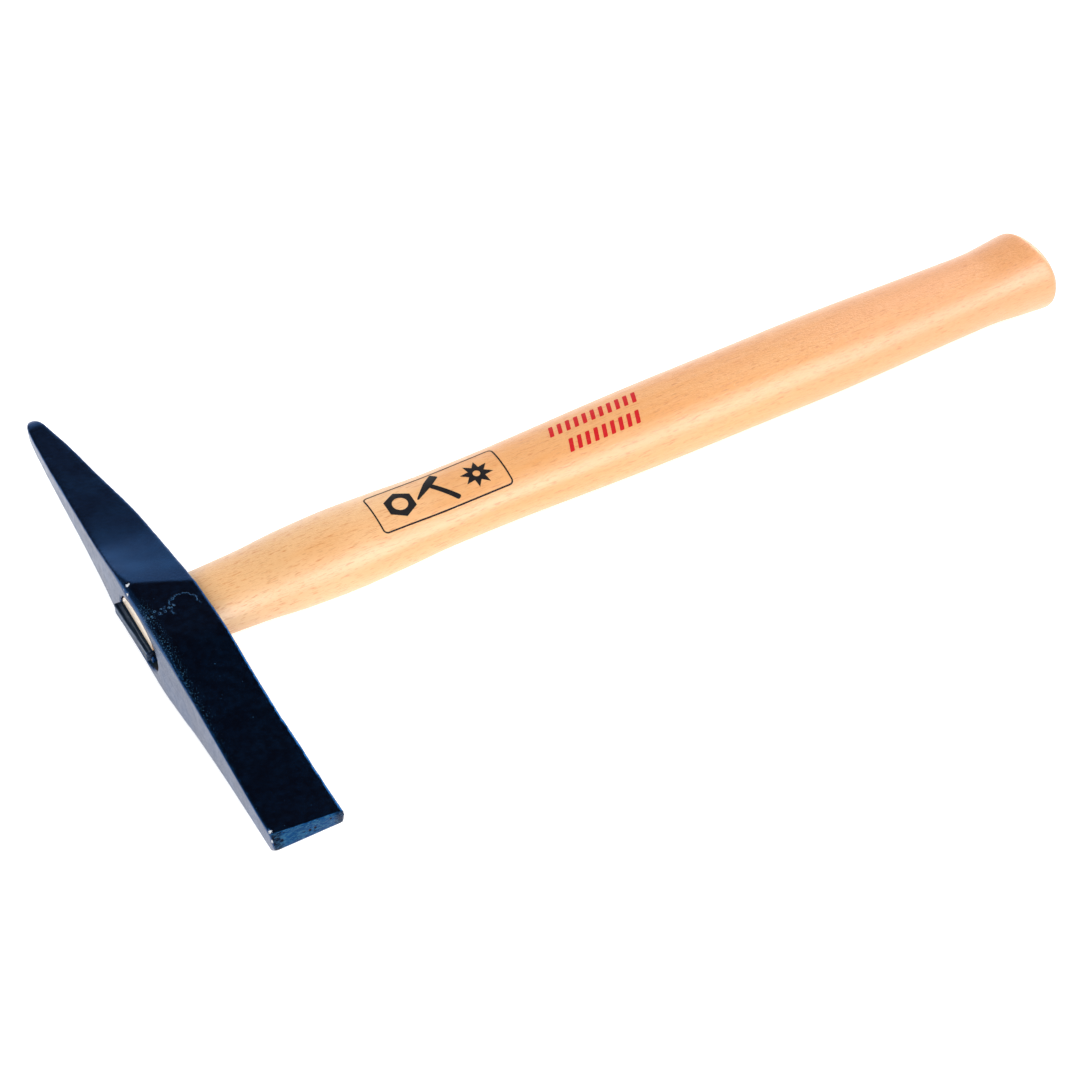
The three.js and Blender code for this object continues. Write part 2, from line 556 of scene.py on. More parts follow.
# --------------------------------------------------------------------- finishes


@dataclass(frozen=True)
class NavyEnamel:
    """Thin blue-black enamel over forged steel, specked and chipped at the edges, with a painted
    highlight of crowded light specks near the eye.
    """

    deep: Row = tone(0.004, 0.040, 0.128)
    lighter: Row = tone(0.006, 0.056, 0.168)
    ground: Row = tone(0.018, 0.100, 0.205)
    pit: Row = tone(0.002, 0.006, 0.016)
    # Light colour of the specks and blisters, and of the painted highlight of crowded specks near
    # the eye.
    speck_and_highlight_tone: Row = tone(0.034, 0.120, 0.200)
    bare: Row = tone(0.78, 0.82, 0.86)
    haze: Row = tone(1.0, 0.62, 0.80)
    nicks: tuple[Row, ...] = (
        (-8.3, 7.6, 10.9, 0.60), (-9.5, 7.7, 9.9, 0.32), (-9.5, 5.4, 10.1, 0.35),
        (-8.4, -80.5, 4.0, 0.55), (-8.8, -82.1, 1.8, 0.42), (-8.6, 68.4, 3.2, 0.28),
        (-9.2, 32.8, 5.0, 0.24),
    )
    sunk: tuple[Row, ...] = (
        (1.6, -83.5, 1.7, 0.50), (3.1, -83.6, 1.9, 0.46), (-6.2, -83.2, 1.9, 0.50),
        (7.6, -83.6, 3.0, 0.42),
    )
    blister: Row = (2.2, -6.4, 11.6)
    blister_size: float = 4.0
    row_below: float = 5.5

    def scatter(self, weave: Weave, crowd: Any, reach: float, pitch: float) -> Any:
        """Field above 0 inside scattered spots, which grow with the crowd.

        Args:
            weave: Node tree of the enamel.
            crowd: Share of spots, from 0 to 1.
            reach: Size of the spots where the crowd is 1.
            pitch: How many spots there can be on a millimetre.

        Returns:
            Value socket.
        """
        return weave.less(weave.times(crowd, reach), weave.cells(weave.even(pitch)))

    def specks_and_highlight(self, weave: Weave) -> Any:
        """Share of light specks: thin all over, crowded along the outer edge near the eye into a
        painted highlight line.

        Args:
            weave: Node tree of the enamel.

        Returns:
            Value socket.
        """
        here = weave.place()
        edge = weave.span(weave.axis(here, "X"), -3.0, -8.2)
        before_pick = weave.span(weave.axis(here, "Y"), 6.0, -3.0)
        thinning = weave.span(weave.axis(here, "Y"), -78.0, -22.0, 0.25, 1.0)
        along = weave.times(before_pick, thinning)
        top = weave.span(weave.axis(here, "Z"), 2.5, 5.0)
        # Painted highlight: specks crowded along the outer edge near the eye, on the upper cheek
        # only, stand in for the lit line there.
        crowd = weave.times(weave.times(edge, along), top)
        drift = weave.span(weave.cloud(weave.even(0.35), 3.0, 0.7), 0.45, 0.75)
        flicker = weave.span(weave.cloud(weave.even(1.6), 2.0), 0.38, 0.66, 0.25, 1.0)
        fine = self.scatter(weave, crowd, 0.32, 2.7)
        fine = weave.times(weave.span(fine, 0.0, 0.09), flicker)
        bold = self.scatter(weave, crowd, 0.24, 1.5)
        loose = self.scatter(weave, drift, 0.17, 0.8)
        large = weave.most(weave.span(bold, 0.0, 0.08), weave.span(loose, 0.0, 0.08, 0.0, 0.7))
        return weave.most(fine, large)

    def blisters(self, weave: Weave) -> Any:
        """Arc and row of small raised rings where the enamel lifted.

        Args:
            weave: Node tree of the enamel.

        Returns:
            Value socket.
        """
        here = weave.place()
        waver = weave.span(weave.cloud(weave.even(0.9), 2.0), 0.3, 0.7, -0.45, 0.45)
        reach = weave.plus(weave.away(self.blister), waver)
        off = weave.amount(weave.less(reach, self.blister_size))
        arc = weave.times(weave.span(off, 0.34, 0.14),
                          weave.span(weave.axis(here, "Y"), -9.0, -7.4))
        level = weave.amount(weave.plus(weave.axis(here, "Y"), self.row_below))
        row = weave.times(weave.span(level, 1.5, 0.6),
                          weave.span(weave.axis(here, "X"), 0.4, -0.6))
        rings = weave.cells(weave.even(1.0), 0.95)
        rims = weave.span(weave.amount(weave.less(rings, 0.32)), 0.11, 0.04)
        lines = weave.most(weave.times(arc, 0.6), weave.times(row, rims))
        patchy = weave.span(weave.cloud(weave.even(1.1), 2.0), 0.36, 0.60, 0.15, 0.85)
        top = weave.span(weave.axis(here, "Z"), 10.0, 11.0)
        return weave.times(top, weave.times(lines, patchy))

    def holes(self, weave: Weave) -> Any:
        """Share of the few larger pits in the ground facet.

        Args:
            weave: Node tree of the enamel.

        Returns:
            Value socket.
        """
        total: Any = None
        for x, y, z, size in self.sunk:
            share = weave.span(weave.away((x, y, z)), size, size * 0.6)
            total = share if total is None else weave.most(total, share)
        return total

    def bevel(self, weave: Weave) -> Any:
        """Share of the ground facet at the chisel's end."""
        front = weave.span(weave.axis(weave.normal(), "Y"), -0.35, -0.6)
        return weave.times(front, weave.span(weave.axis(weave.place(), "Y"), -78.0, -80.0))

    def chips(self, weave: Weave) -> Any:
        """Share of bare metal at the nicks.

        Args:
            weave: Node tree of the enamel.

        Returns:
            Value socket.
        """
        ragged = weave.span(weave.cloud(weave.even(2.2), 3.0, 0.7), 0.2, 0.8, -0.35, 0.35)
        total: Any = None
        for x, y, z, size in self.nicks:
            reach = weave.plus(weave.away((x, y, z)), ragged)
            share = weave.span(reach, size + 0.12, size - 0.08)
            total = share if total is None else weave.most(total, share)
        return total

    def build(self) -> bpy.types.Material:
        """Material for the head.

        Returns:
            The material, ready to put on its piece.
        """
        weave = Weave("navy_enamel")
        peel = weave.cloud(weave.even(1.7), 2.0, 0.5)
        patches = weave.cloud(weave.even(0.12), 3.0, 0.5)
        colour = weave.blend(weave.span(patches, 0.35, 0.7), self.deep, self.lighter)
        facet = self.bevel(weave)
        smear = weave.cloud(weave.place((0.55, 1.6, 1.6)), 5.0, 0.7, 1.2)
        scraped = weave.times(facet, weave.span(smear, 0.42, 0.62))
        colour = weave.blend(scraped, colour, self.ground)
        pits = weave.span(weave.cells(weave.place((0.42, 0.9, 0.9))), 0.22, 0.12)
        pits = weave.times(weave.times(facet, pits), weave.span(smear, 0.52, 0.46))
        pits = weave.most(pits, self.holes(weave))
        # Darker towards both sides of the ground facet, in patches.
        side = weave.axis(weave.place(), "X")
        ends = weave.most(weave.span(side, -5.2, -7.2), weave.span(side, 8.0, 9.6, 0.0, 0.8))
        dark_facet_sides = weave.times(facet, weave.times(ends, weave.span(smear, 0.70, 0.44)))
        colour = weave.blend(weave.most(pits, dark_facet_sides), colour, self.pit)
        specks_and_highlight, blisters, chips = self.specks_and_highlight(weave), self.blisters(weave), self.chips(weave)
        # Specks, blisters and the painted highlight line share one light colour and a matt finish.
        specks_blisters_highlight = weave.most(specks_and_highlight, blisters)
        colour = weave.blend(specks_blisters_highlight, colour, self.speck_and_highlight_tone)
        colour = weave.blend(chips, colour, self.bare)
        matt = weave.most(weave.times(specks_blisters_highlight, 0.9), chips)
        matt = weave.most(matt, weave.times(scraped, 0.25))
        rough = weave.span(weave.cloud(weave.even(0.5), 4.0, 0.6), 0.3, 0.7, 0.19, 0.27)
        rough = weave.plus(rough, weave.times(facet, 0.12))
        bump = weave.emboss(peel, 0.040)
        bump = weave.emboss(weave.cloud(weave.even(4.2), 2.0, 0.5), 0.022, bump)
        bump = weave.emboss(weave.times(facet, smear), 0.35, bump)
        bump = weave.emboss(pits, -0.3, bump)
        bump = weave.emboss(blisters, 0.10, bump)
        bump = weave.emboss(chips, -0.08, bump)
        weave.set(Base_Color=colour, Metallic=weave.less(1.0, matt), Roughness=rough, Normal=bump)
        weave.set(Sheen_Weight=0.036, Sheen_Roughness=0.5, Sheen_Tint=self.haze)
        return weave.material


@dataclass(frozen=True)
class VarnishedBeech:
    """Pale beech with short flecks under a thin clear varnish."""

    pale: Row = tone(0.865, 0.415, 0.140)
    warm: Row = tone(0.850, 0.370, 0.098)
    light: Row = tone(0.890, 0.510, 0.225)
    fleck: Row = tone(0.70, 0.220, 0.042)
    pore: Row = tone(0.55, 0.175, 0.038)
    ripe: Row = tone(0.830, 0.345, 0.112)
    # Painted shade on the butt's dome.
    butt_painted_shade: Row = tone(0.60, 0.215, 0.065)
    end: Row = tone(1.0, 0.83, 0.66)

    def build(self) -> bpy.types.Material:
        """Material for the handle.

        Returns:
            The material, ready to put on its piece.
        """
        weave = Weave("varnished_beech")
        streak = weave.cloud(weave.place((0.014, 0.5, 0.5)), 5.0, 0.55, 0.4)
        colour = weave.blend(weave.span(streak, 0.3, 0.72), self.pale, self.warm)
        drift = weave.cloud(weave.place((0.02, 0.1, 0.1)), 2.0)
        toward = weave.plus(weave.axis(weave.place(), "X"),
                            weave.span(drift, 0.2, 0.8, -40.0, 40.0))
        colour = weave.blend(weave.span(toward, 130.0, 20.0), colour, self.light)
        colour = weave.blend(weave.span(toward, 150.0, 290.0), colour, self.ripe)
        rays = weave.cloud(weave.place((0.30, 2.4, 2.4)), 2.0, 0.55)
        flecks = weave.span(rays, 0.54, 0.74)
        colour = weave.blend(weave.times(flecks, 0.85), colour, self.fleck)
        thin = weave.cloud(weave.place((0.42, 4.6, 4.6)), 1.0, 0.4)
        pores = weave.span(thin, 0.61, 0.74)
        colour = weave.blend(weave.times(pores, 0.5), colour, self.pore)
        facing = weave.axis(weave.normal(), "X")
        # Painted shade: the wood turns a deeper orange where the butt's dome faces the end.
        butt_painted_shade = weave.times(weave.span(facing, 0.10, 0.75), weave.span(toward, 225.0, 285.0))
        colour = weave.blend(butt_painted_shade, colour, self.butt_painted_shade)
        colour = weave.blend(weave.span(facing, -0.75, -0.95), colour, self.end)
        rough = weave.span(weave.cloud(weave.place((0.2, 1.2, 1.2)), 3.0), 0.3, 0.7, 0.36, 0.46)
        bump = weave.emboss(weave.cloud(weave.place((0.9, 2.4, 2.4)), 3.0, 0.65), 0.13)
        bump = weave.emboss(flecks, -0.02, bump)
        weave.set(Base_Color=colour, Roughness=rough, Normal=bump)
        weave.set(Coat_Weight=0.9, Coat_Roughness=0.37, Coat_IOR=1.75, Coat_Normal=bump)
        return weave.material


@dataclass(frozen=True)
class BluedSteel:
    """Blue-black rolled steel with drawn lines along it, for the wedge."""

    scale: Row = tone(0.022, 0.045, 0.090)
    bright: Row = tone(0.150, 0.210, 0.320)

    def build(self) -> bpy.types.Material:
        """Material for the wedge.

        Returns:
            The material, ready to put on its piece.
        """
        weave = Weave("blued_steel")
        drawn = weave.cloud(weave.place((1.2, 0.04, 1.2)), 3.0, 0.6)
        mottle = weave.cloud(weave.place((1.6, 0.9, 1.6)), 4.0, 0.65)
        share = weave.times(weave.span(drawn, 0.47, 0.58),
                            weave.span(mottle, 0.3, 0.7, 0.4, 1.0))
        colour = weave.blend(share, self.scale, self.bright)
        bump = weave.emboss(drawn, 0.35)
        bump = weave.emboss(mottle, 0.06, bump)
        rough = weave.span(mottle, 0.3, 0.7, 0.52, 0.36)
        weave.set(Base_Color=colour, Roughness=rough, Normal=bump)
        weave.set(Metallic=1.0)
        return weave.material


@dataclass(frozen=True)
class PrintInk:
    """Screen-printed ink, slightly uneven where the grain shows through."""

    name: str
    colour: Row
    thin: Row

    def build(self) -> bpy.types.Material:
        """Material for one colour of the marks.

        Returns:
            The material, ready to put on its piece.
        """
        weave = Weave(self.name)
        grain = weave.cloud(weave.place((0.3, 3.4, 3.4)), 2.0, 0.5)
        colour = weave.blend(weave.span(grain, 0.62, 0.8), self.colour, self.thin)
        bump = weave.emboss(weave.cloud(weave.place((0.06, 1.6, 1.6)), 3.0, 0.6), 0.03)
        weave.set(Base_Color=colour, Roughness=weave.span(grain, 0.3, 0.7, 0.38, 0.5), Normal=bump)
        weave.set(Specular_IOR_Level=0.3)
        return weave.material


@dataclass(frozen=True)
class PaleFloor:
    """Plain matt white surface, lit a little from below like a light table."""

    def build(self) -> bpy.types.Material:
        """Material for the floor.

        Returns:
            The material, ready to put on its piece.
        """
        weave = Weave("pale_floor")
        weave.set(Base_Color=tone(0.93, 0.93, 0.93), Roughness=0.9, Specular_IOR_Level=0.1)
        weave.set(Emission_Color=tone(1.0, 1.0, 1.0), Emission_Strength=0.56)
        return weave.material


# ------------------------------------------------------------------------- head


@dataclass
class Head:
    """Forged head: square block with a chisel edge, eye, and tapering pick."""

    chisel_edge: float = -84.0
    edge_land: float = 0.7
    upper_bevel: float = 1.5
    lower_bevel: float = 3.1
    corner: float = 1.2
    corner_share: float = 0.8
    nose: float = 5.2
    crease: float = 4.0
    flatten: float = 0.05
    fillet_steps: int = 9
    cheek_steps: int = 8
    skin: float = 0.42
    skin_passes: int = 3
    dent_reach: float = 1.6
    dent_depth: float = 0.45
    outer: Curve = Curve((
        (-84, -8.8), (-55, -8.9), (-37, -9.05), (-24, -9.5), (-10, -10), (0, -10), (14, -9.8),
        (28, -9.45), (46, -8.95), (64, -8.55), (77, -8), (87, -7.15)))
    inner: Curve = Curve((
        (-84, 11.4), (-69, 10.9), (-58, 10.5), (-47, 9.9), (-26, 9.3), (-3, 8.75), (17, 7.75),
        (33, 6.5), (57, 2.6), (72, 0), (81, -2.1), (87, -3.2)))
    block_half: Curve = Curve((
        (-84, 4.1), (-78, 4.1), (-55, 5.8), (-33, 8.7), (-15, CHEEK_HALF), (4, CHEEK_HALF)))
    pick_half: Curve = Curve((
        (4, CHEEK_HALF), (10, 10.4), (16, 9.1), (28, 6.85), (46, 5), (64, 3.65), (81, 2.6),
        (87, 2.4)))
    outer_fillet: Curve = Curve((
        (-84, 0.8), (-70, 0.6), (-38, 0.8), (-28, 1.2), (-16, 2.2), (-4, 3.0), (4, 2.3), (9, 1.0),
        (18, 0.5), (87, 0.5)))
    inner_fillet: Curve = Curve(((-84, 0.4), (-70, 0.3), (-20, 0.5), (20, 0.6), (87, 0.5)))
    lean: Curve = Curve(((-28, 0), (4, -0.47), (36, 0), (87, 0)))
    bevel_lean: Curve = Curve(((-84, 0), (-82.5, -0.11), (-76, 0)))
    eye_power: float = 2.4
    eye_sides: int = 96
    eye: Curve = Curve((
        (-14, 12.3, 8.4, -0.8), (-10, 12.15, 8.1, -0.7), (8.8, 11, 6.2, 0), (13, 10.8, 6, 0)))

    def nose_scale(self, s: float) -> float:
        """Share of the full section left over the rounded nose."""
        past = max(0.0, s - (PICK_TIP - self.nose)) / self.nose
        return math.sqrt(max(0.02, 1 - past * past))

    def half_thickness(self, s: float, bevel: float) -> float:
        """Half thickness at a station, with the bevel of one side.

        Args:
            s: Station along the head.
            bevel: Length of that side's bevel.

        Returns:
            Half thickness in millimetres.
        """
        table = self.pick_half if s > self.crease else self.block_half
        body = float(table.at(s))
        land = self.edge_land / 2
        slope = land + (s - self.chisel_edge) * (body - land) / bevel
        return min(body, slope) * self.nose_scale(s)

    def plan(self, s: float) -> tuple[float, float]:
        """Outer and inner edge at a station.

        Args:
            s: Station along the head.

        Returns:
            Their two places along x.
        """
        outer, inner = float(self.outer.at(s)), float(self.inner.at(s))
        left = self.chisel_edge + self.corner - s
        if left > 0:
            inset = self.corner - math.sqrt(max(0.0, self.corner**2 - left**2))
            outer += inset * self.corner_share
            inner -= inset * self.corner_share
        shrink, middle = self.nose_scale(s), (outer + inner) / 2
        return middle + (outer - middle) * shrink, middle + (inner - middle) * shrink

    def cheek(self, s: float, half: float) -> list[tuple[float, float]]:
        """One side of the section: fillet, flat, fillet.

        Args:
            s: Station along the head.
            half: Half thickness there.

        Returns:
            Pairs of x and height.
        """
        outer, inner = self.plan(s)
        limit = min(half, (inner - outer) / 2) * 0.85
        big = min(float(self.outer_fillet.at(s)), limit)
        small = min(float(self.inner_fillet.at(s)), limit)
        turns = [i / self.fillet_steps * math.pi / 2 for i in range(self.fillet_steps + 1)]
        bow = 1 + max(0.0, big - 2.0) * self.flatten
        rising = [
            (outer + big * (1 - abs(math.cos(a)) ** bow), half - big * (1 - math.sin(a) ** bow))
            for a in turns]
        flat = inner - small - outer - big
        across = [(outer + big + flat * i / self.cheek_steps, half)
                  for i in range(1, self.cheek_steps)]
        falling = [(inner - small * (1 - math.cos(a)), half - small * (1 - math.sin(a)))
                   for a in reversed(turns)]
        return rising + across + falling

    def section(self, s: float) -> Points:
        """Loop round the head at a station.

        Args:
            s: Station along the head.

        Returns:
            Rows of x, y, z.
        """
        upper = self.cheek(s, self.half_thickness(s, self.upper_bevel))
        lower = self.cheek(s, self.half_thickness(s, self.lower_bevel))
        tilt = float(self.lean.at(s))
        slant = tilt + float(self.bevel_lean.at(s))
        points = [(x, s + slant * x, z) for x, z in upper]
        points += [(x, s + tilt * x, -z) for x, z in reversed(lower)]
        return np.array(points)

    def stations(self) -> list[float]:
        """Positions of the sections along the head.

        Returns:
            Stations from the chisel's edge to the pick's tip.
        """
        marks = [
            (self.chisel_edge, self.chisel_edge + self.upper_bevel, 0.2),
            (self.chisel_edge + self.upper_bevel, self.chisel_edge + self.lower_bevel, 0.5),
            (self.chisel_edge + self.lower_bevel, self.crease, 1.5),
            (self.crease, PICK_TIP - self.nose, 1.5),
            (PICK_TIP - self.nose, PICK_TIP, 0.4),
        ]
        out: list[float] = []
        for start, end, step in marks:
            count = math.ceil((end - start) / step)
            out += list(np.linspace(start, end, count, endpoint=False))
        return out + [PICK_TIP]

    def eye_tool(self) -> bpy.types.Object:
        """Solid of the eye's opening.

        Returns:
            The new object, in millimetres.
        """
        loops = []
        for x in (-14.0, -12.0, -10.0, -5.0, 0.0, 5.0, 8.8, 13.0):
            half_y, half_z, middle = (float(self.eye.at(x, k)) for k in (1, 2, 3))
            loops.append(oval(x, half_y, half_z, self.eye_power, self.eye_sides, middle=middle))
        return loft("eye_tool", np.array(loops))

    def build(self, look: bpy.types.Material, nicks: tuple[Row, ...]) -> bpy.types.Object:
        """Make the head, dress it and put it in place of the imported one.

        Args:
            look: Material of the head.
            nicks: Place and size of the small dents in its edges.

        Returns:
            The finished head.
        """
        made = loft("forged_head", np.array([self.section(s) for s in self.stations()]))
        cut(made, self.eye_tool())
        soften(made, self.skin, self.skin_passes)
        places = points_of(made)
        facing = normals_of(made)
        swell = 0.05 * ripple(places, 12.0, 3.7) + 0.012 * ripple(places, 4.0, 11.3)
        for x, y, z, size in nicks:
            away = np.linalg.norm(places - np.array([x, y, z]), axis=1)
            reach = away / (self.dent_reach * size)
            swell -= self.dent_depth * size * np.clip(1 - reach**2, 0, 1)
        set_points(made, places + facing * swell[:, None])
        shade(made)
        install(made, look)
        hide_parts("head")
        return made


def oval(x: float, half_y: float, half_z: float, power: float, sides: int,
         lean: float = 0.0, middle: float = 0.0) -> Points:
    """Oval loop round the x axis; the power squares it up.

    Args:
        x: Position of the loop.
        half_y: Half length along y.
        half_z: Half width along z.
        power: 2 for an ellipse, more for a squarer loop.
        sides: Number of points.
        lean: How far x shifts per millimetre of y.
        middle: Middle of the loop in y.

    Returns:
        Rows of x, y, z.
    """
    turn = np.arange(sides) / sides * math.tau
    c, s = np.cos(turn), np.sin(turn)
    y = middle + half_y * np.sign(c) * np.abs(c) ** (2 / power)
    z = half_z * np.sign(s) * np.abs(s) ** (2 / power)
    return np.stack([x + lean * y, y, z], axis=1)


# ----------------------------------------------------------------------- handle


@dataclass
class Handle:
    """Oval handle with a tongue for the eye and a flared, domed butt."""

    head: Head
    shoulder: float = 9.15
    shoulder_lean: float = -0.037
    shoulder_round: tuple[Row, ...] = ((0.0, 0.35), (0.15, 0.1))
    tongue_end: float = -9.6
    tongue_round: tuple[Row, ...] = ((0.0, 0.5), (0.15, 0.15))
    tongue_steps: int = 10
    neck: float = 262.0
    butt_end: float = 286.0
    butt_round: float = 3.8
    butt_lean: float = -0.17
    butt_inset: float = 8.0
    power: float = 2.15
    sides: int = 128
    grip_steps: int = 230
    dome_steps: int = 16
    hollow_depth: float = 4.5
    hollow_reach: float = 6.0
    hollow: Row = (-9.5, -8.3, 8.3)
    lower_hollow: Row = (-4.0, -8.1, 1.0)
    grip: Curve = Curve((
        (8, 11.35, 7), (24, 11.85, 7.8), (38, 12.95, 8.85), (52, 13.3, 9.3), (66, 12.9, 9.05),
        (84, 12.1, 8.6), (99, 12.15, 8.7), (119, 12.6, 9.05), (138, 13.1, 9.55), (159, 13.35, 9.9),
        (184, 13.4, 10), (206, 13.5, 10.1), (222, 13.25, 10), (241, 12.65, 9.8), (256, 12.2, 9.75),
        (266, 11.95, 9.95), (276, 12.6, 10.9), (283, 13, CHEEK_HALF), (290, 13, CHEEK_HALF)))

    def grip_loop(self, x: float, inset: float = 0.0, lean: float = 0.0) -> Points:
        """Loop round the grip, drawn in by an inset."""
        half_y, half_z = (float(self.grip.at(x, k)) - inset for k in (1, 2))
        return oval(x, half_y, half_z, self.power, self.sides, lean)

    def tongue_loop(self, x: float, inset: float, lean: float = 0.0) -> Points:
        """Loop round the tongue, which follows the eye.

        Args:
            x: Position of the loop.
            inset: Gap to the eye's wall.
            lean: How far x shifts per millimetre of y.

        Returns:
            Rows of x, y, z.
        """
        half_y, half_z, middle = (float(self.head.eye.at(x, k)) for k in (1, 2, 3))
        return oval(x, half_y - inset, half_z - inset, self.head.eye_power, self.sides, lean,
                    middle)

    def loops(self) -> Points:
        """All loops from the tongue's end to the dome.

        Returns:
            Array of loops by points by x, y, z.
        """
        out = [self.tongue_loop(self.tongue_end + x, GAP + inset) for x, inset in self.tongue_round]
        straight = np.linspace(self.tongue_end + 0.5, self.shoulder - 1, self.tongue_steps)
        out += [self.tongue_loop(x, GAP) for x in straight]
        out.append(self.tongue_loop(self.shoulder, GAP, self.shoulder_lean))
        flare = self.butt_end - self.butt_round
        for x, inset in self.shoulder_round:
            out.append(self.grip_loop(self.shoulder + x, inset, self.shoulder_lean))
        for x in np.linspace(self.shoulder + 0.6, flare, self.grip_steps):
            tilt = self.butt_lean * max(0.0, (x - self.neck) / (flare - self.neck)) ** 2
            out.append(self.grip_loop(x, 0.0, tilt))
        for turn in np.linspace(0.06, 0.97, self.dome_steps):
            angle = turn * math.pi / 2
            inset = self.butt_inset * (1 - math.cos(angle))
            x = flare + self.butt_round * math.sin(angle)
            out.append(self.grip_loop(x, inset, self.butt_lean))
        return np.array(out)

    def top(self, x: Points, y: Points) -> Points:
        """Height of the grip's upper side, at places x along and y across it."""
        share = np.clip(np.abs(y) / self.grip.at(x, 1), 0, 0.999)
        return self.grip.at(x, 2) * (1 - share**self.power) ** (1 / self.power)

    def hollow_tools(self) -> list[bpy.types.Object]:
        """Blocks that open the hollow beside the wedge and clear the lower prong next to it.

        Returns:
            Two objects, in millimetres.
        """
        ends = self.tongue_end - 3, self.tongue_end + self.hollow_depth
        far = self.hollow[0] - self.hollow_reach
        tools = []
        for near, bottom, top in (self.hollow, self.lower_hollow):
            corners = ((far, bottom), (near, bottom), (near, top), (far, top))
            loops = [[(x, y, z) for y, z in corners] for x in ends]
            tools.append(loft("hollow_tool", np.array(loops, float)))
        return tools

    def build(self, kerf: bpy.types.Object, look: bpy.types.Material) -> bpy.types.Object:
        """Make the handle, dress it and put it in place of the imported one.

        Args:
            kerf: Solid of the slot that the wedge spreads.
            look: Material of the wood.

        Returns:
            The finished handle.
        """
        made = loft("beech_handle", self.loops())
        cut(made, kerf)
        for tool in self.hollow_tools():
            cut(made, tool)
        shade(made, 38.0)
        install(made, look)
        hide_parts("handle")
        return made


@dataclass
class PaintRun:
    """Crumb of run enamel that stuck in the hollow at the wedge's end."""

    middle: Row = (-9.7, -10.1, -0.9)
    reach: Row = (0.9, 0.75, 1.3)
    rings: int = 9
    sides: int = 16
    last_turn: float = 1.35
    skin: float = 0.14

    def build(self, look: bpy.types.Material) -> bpy.types.Object:
        """Make the crumb and dress it.

        Args:
            look: Material of the enamel.

        Returns:
            The finished crumb.
        """
        loops = []
        for turn in np.linspace(-self.last_turn, self.last_turn, self.rings):
            loops.append(oval(math.sin(turn), math.cos(turn), math.cos(turn), 2.0, self.sides))
        made = loft("paint_crumb", np.array(loops) * self.reach + self.middle)
        soften(made, self.skin, 1)
        places = points_of(made)
        lump = 0.45 * ripple(places, 0.9, 6.4) + 0.15 * ripple(places, 0.4, 2.9)
        set_points(made, places + normals_of(made) * lump[:, None])
        shade(made)
        install(made, look)
        return made


# ------------------------------------------------------------------------ wedge


@dataclass
class Wedge:
    """Flat tapered steel wedge, burred where it was struck."""

    proud: float = 1.4
    depth: float = 15.0
    thick: float = 3.9
    tip: float = 1.6
    pick_end: float = 10.95
    pick_taper: float = 0.3
    chisel_end: float = -9.3
    skew: float = 0.7
    burr: float = 4.0
    skin: float = 0.22

    def plate(self, name: str, grow: float) -> bpy.types.Object:
        """The wedge's plain solid, grown by a margin on every side.

        Args:
            name: Name of the new object.
            grow: The margin in millimetres.

        Returns:
            The new object, in millimetres.
        """
        top = OUTER_FACE - self.proud - grow
        tip = OUTER_FACE - self.proud + self.depth + grow
        low = self.chisel_end - grow
        loops = []
        for x, thick, taper in ((top, self.thick, 0.0), (tip, self.tip, self.pick_taper)):
            half = thick / 2 + grow
            high = self.pick_end - taper + grow
            loops.append([(x, low, -half), (x, high, -half), (x, high, half), (x, low, half)])
        return loft(name, np.array(loops, float))

    def build(self, look: bpy.types.Material) -> bpy.types.Object:
        """Make the wedge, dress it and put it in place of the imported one.

        Args:
            look: Material of the steel.

        Returns:
            The finished wedge.
        """
        made = self.plate("steel_wedge", 0.0)
        soften(made, self.skin, 3)
        places = points_of(made)
        facing = normals_of(made)
        dents = 0.06 * ripple(places * (1, 0.3, 1), 2.0, 5.1) + 0.03 * ripple(places, 1.3, 8.3)
        places = places + facing * dents[:, None]
        span = self.pick_end - self.chisel_end
        outside = np.clip((OUTER_FACE + self.burr - places[:, 0]) / self.burr, 0, 1)
        places[:, 0] -= self.skew * outside * (places[:, 1] - self.chisel_end) / span
        set_points(made, places)
        shade(made)
        install(made, look)
        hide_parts("wedge")
        return made


# ------------------------------------------------------------------------ marks


